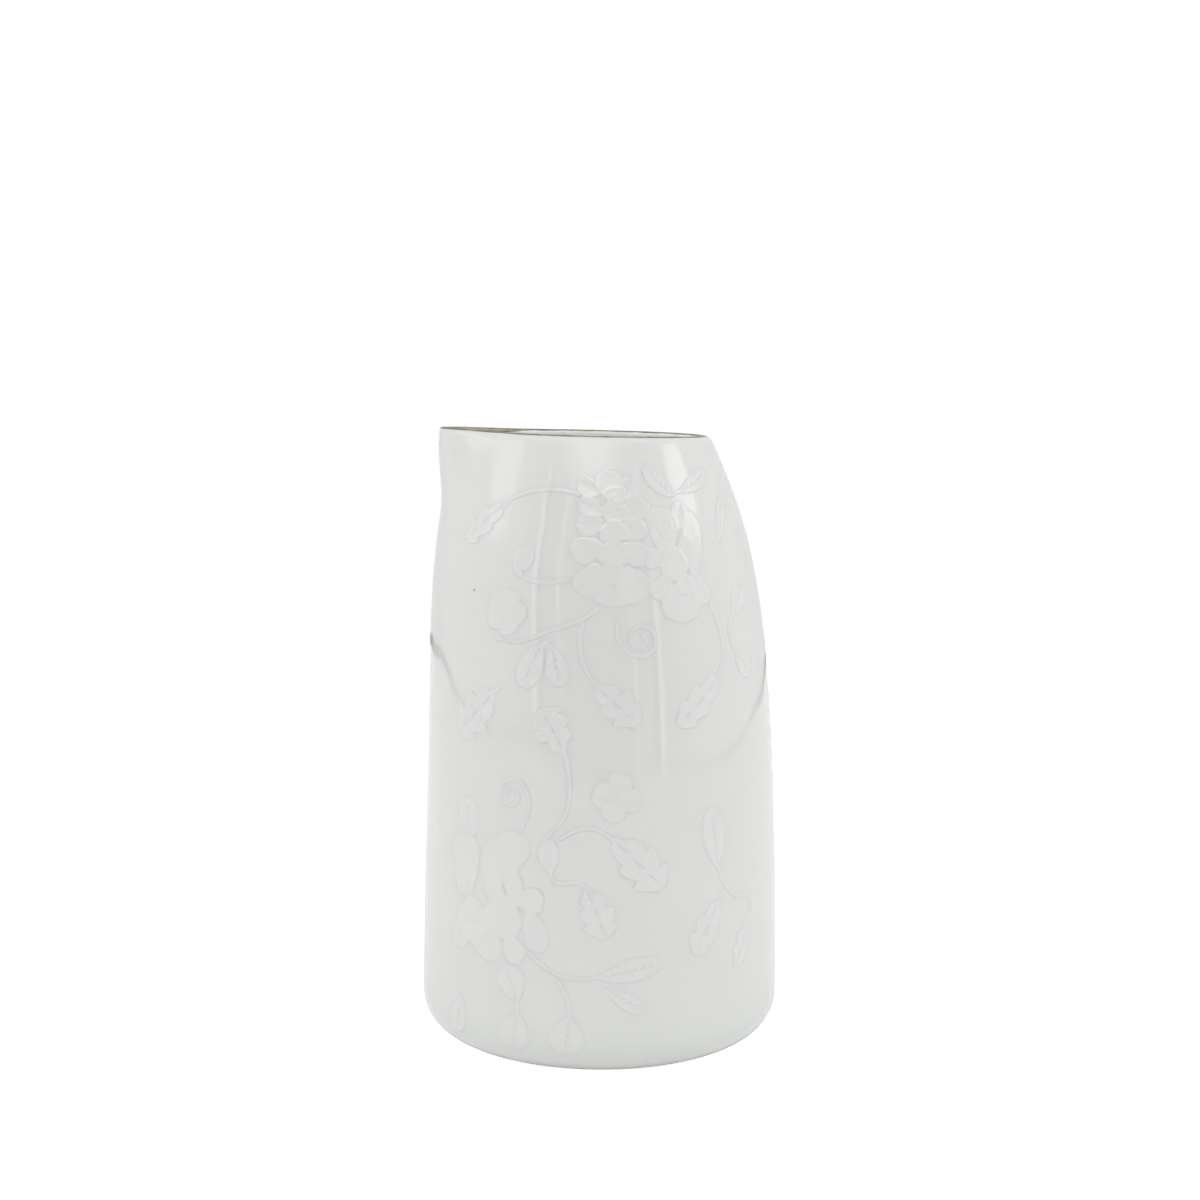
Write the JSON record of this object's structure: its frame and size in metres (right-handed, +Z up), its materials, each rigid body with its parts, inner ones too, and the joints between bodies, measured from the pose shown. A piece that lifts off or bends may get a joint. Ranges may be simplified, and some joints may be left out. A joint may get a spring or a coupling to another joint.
{
  "type": "porcelain cream jug",
  "caption": "Handleless white porcelain cream jug with a pouring lip, a thin metal rim line and raised flower and vine relief.",
  "frame": {"origin": "centre of the foot ring on the surface that the jug stands on", "axes": "+Z up through the mouth, -X towards the pouring lip, -Y the front face of the relief"},
  "size_m": [0.066, 0.0672, 0.1112],
  "materials": {
    "glazed_porcelain": "high gloss clear glaze over white bone china, matt on the foot ring",
    "raised_relief": "gloss white raised relief under the glaze",
    "rim_metal": "fired pale gold rim line, burnished and slightly worn"
  },
  "bodies": {
    "root": {"back_bloom_base": "raised_relief", "back_bloom_crown": "raised_relief", "back_bloom_shoulder": "raised_relief", "back_flower_side": "raised_relief", "back_flower_waist": "raised_relief", "back_leaf_foot": "raised_relief", "back_leaf_left": "raised_relief", "back_leaf_low": "raised_relief", "back_leaf_round": "raised_relief", "back_leaf_shoulder": "raised_relief", "back_leaf_side": "raised_relief", "back_leaves_edge": "raised_relief", "back_leaves_hanging": "raised_relief", "back_leaves_peak": "raised_relief", "back_spray_bud": "raised_relief", "back_spray_centre": "raised_relief", "back_spray_foot": "raised_relief", "back_spray_foot_left": "raised_relief", "back_spray_lobed": "raised_relief", "back_spray_low": "raised_relief", "back_spray_middle": "raised_relief", "back_spray_right": "raised_relief", "back_spray_side": "raised_relief", "back_spray_spout": "raised_relief", "back_spray_waist": "raised_relief", "back_stem_side": "raised_relief", "back_tendril_lower": "raised_relief", "back_tendril_upper": "raised_relief", "front_bloom_base": "raised_relief", "front_bloom_crown": "raised_relief", "front_bloom_shoulder": "raised_relief", "front_flower_side": "raised_relief", "front_flower_waist": "raised_relief", "front_leaf_foot": "raised_relief", "front_leaf_left": "raised_relief", "front_leaf_low": "raised_relief", "front_leaf_round": "raised_relief", "front_leaf_shoulder": "raised_relief", "front_leaf_side": "raised_relief", "front_leaves_edge": "raised_relief", "front_leaves_hanging": "raised_relief", "front_leaves_peak": "raised_relief", "front_spray_bud": "raised_relief", "front_spray_centre": "raised_relief", "front_spray_foot": "raised_relief", "front_spray_foot_left": "raised_relief", "front_spray_lobed": "raised_relief", "front_spray_low": "raised_relief", "front_spray_middle": "raised_relief", "front_spray_right": "raised_relief", "front_spray_side": "raised_relief", "front_spray_spout": "raised_relief", "front_spray_waist": "raised_relief", "front_stem_side": "raised_relief", "front_tendril_lower": "raised_relief", "front_tendril_upper": "raised_relief", "porcelain_body": "glazed_porcelain", "rim_line": "rim_metal"}
  },
  "joints": []
}
